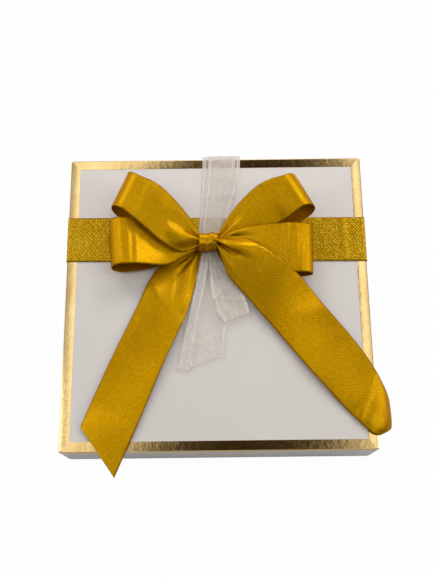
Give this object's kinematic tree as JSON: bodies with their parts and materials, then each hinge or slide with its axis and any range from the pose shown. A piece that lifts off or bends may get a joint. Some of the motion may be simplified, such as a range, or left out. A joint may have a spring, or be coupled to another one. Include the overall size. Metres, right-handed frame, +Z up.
{
  "type": "chocolate box",
  "caption": "Square rigid gift box of chocolates with a telescoping lid, gold foil border and a gold satin ribbon bow over sheer organza.",
  "frame": {"origin": "middle of the box's underside, at the level that it rests on", "axes": "+Z up, +X to the right and -Y towards the front, from where the picture was taken"},
  "size_m": [0.1687, 0.1726, 0.0538],
  "materials": {
    "white_paper": "matte",
    "liner_paper": "matte",
    "grey_board": "matte",
    "divider_card": "matte",
    "cup_paper": "satin",
    "dark_chocolate": "satin",
    "milk_chocolate": "satin",
    "quilted_paper": "matte",
    "gold_foil": "polished",
    "gold_satin": "satin",
    "organza": "satin"
  },
  "bodies": {
    "base": {"base_carton": "grey_board", "base_wrap": "white_paper", "base_underside": "white_paper", "base_liner": "liner_paper", "chocolate_01_gem": "dark_chocolate", "chocolate_02_ridged": "dark_chocolate", "chocolate_03_dome": "milk_chocolate", "chocolate_04_stepped": "milk_chocolate", "chocolate_05_ridged": "dark_chocolate", "chocolate_06_dome": "milk_chocolate", "chocolate_07_stepped": "milk_chocolate", "chocolate_08_gem": "dark_chocolate", "chocolate_09_dome": "milk_chocolate", "chocolate_10_stepped": "milk_chocolate", "chocolate_11_gem": "dark_chocolate", "chocolate_12_ridged": "dark_chocolate", "chocolate_13_stepped": "milk_chocolate", "chocolate_14_gem": "dark_chocolate", "chocolate_15_ridged": "dark_chocolate", "chocolate_16_dome": "milk_chocolate", "paper_cup_01": "cup_paper", "paper_cup_02": "cup_paper", "paper_cup_03": "cup_paper", "paper_cup_04": "cup_paper", "paper_cup_05": "cup_paper", "paper_cup_06": "cup_paper", "paper_cup_07": "cup_paper", "paper_cup_08": "cup_paper", "paper_cup_09": "cup_paper", "paper_cup_10": "cup_paper", "paper_cup_11": "cup_paper", "paper_cup_12": "cup_paper", "paper_cup_13": "cup_paper", "paper_cup_14": "cup_paper", "paper_cup_15": "cup_paper", "paper_cup_16": "cup_paper"},
    "divider_grid": {"divider_across_1": "divider_card", "divider_across_2": "divider_card", "divider_across_3": "divider_card", "divider_along_1": "divider_card", "divider_along_2": "divider_card", "divider_along_3": "divider_card"},
    "pad": {"cushion_pad": "quilted_paper"},
    "lid": {"bow_knot": "gold_satin", "bow_loop_lower_left": "gold_satin", "bow_loop_lower_right": "gold_satin", "bow_loop_upper_left": "gold_satin", "bow_loop_upper_right": "gold_satin", "bow_tail_left": "gold_satin", "bow_tail_right": "gold_satin", "gold_band": "gold_satin", "gold_foil_border": "gold_foil", "lid_carton": "grey_board", "lid_liner": "liner_paper", "lid_wrap": "white_paper", "organza_loop": "organza", "organza_sash_over": "organza", "organza_sash_under": "organza", "organza_tail_left": "organza", "organza_tail_right": "organza"}
  },
  "joints": [
    {"name": "grid_lift", "type": "slide", "parent": "base", "child": "divider_grid", "axis": [0, 0, 1], "range_m": [0, 0.04]},
    {"name": "pad_lift", "type": "slide", "parent": "divider_grid", "child": "pad", "axis": [0, 0, 1], "range_m": [0, 0.04]},
    {"name": "lid_lift", "type": "slide", "parent": "pad", "child": "lid", "axis": [0, 0, 1], "range_m": [0, 0.08]}
  ]
}
